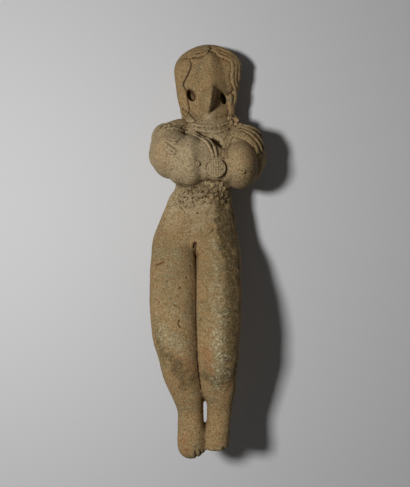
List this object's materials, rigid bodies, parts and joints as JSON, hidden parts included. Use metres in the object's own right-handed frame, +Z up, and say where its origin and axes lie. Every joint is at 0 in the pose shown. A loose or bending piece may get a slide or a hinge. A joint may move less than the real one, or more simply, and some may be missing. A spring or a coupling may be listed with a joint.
{
  "type": "seated_female_figurine",
  "caption": "Hand-modelled low-fired clay female figurine lying on its back, with pinched nose, punched eyes, coiled hair, applied necklace and pendant, arms under round breasts, and long joined legs.",
  "frame": {"origin": "centre of the underside's box, at the level of the worn flats that the figurine lies on", "axes": "+Y runs from the feet to the head, +Z is up and out of the figurine's front, +X is to the right of a viewer who looks down on it with its head at the top"},
  "size_m": [0.0346, 0.12, 0.0324],
  "materials": {
    "fired_clay": "low-fired buff earthenware, hand-modelled, unglazed, with grey-green lime crust, brown stains, pits and small chips"
  },
  "bodies": {
    "root": {"figurine": "fired_clay"}
  },
  "joints": []
}
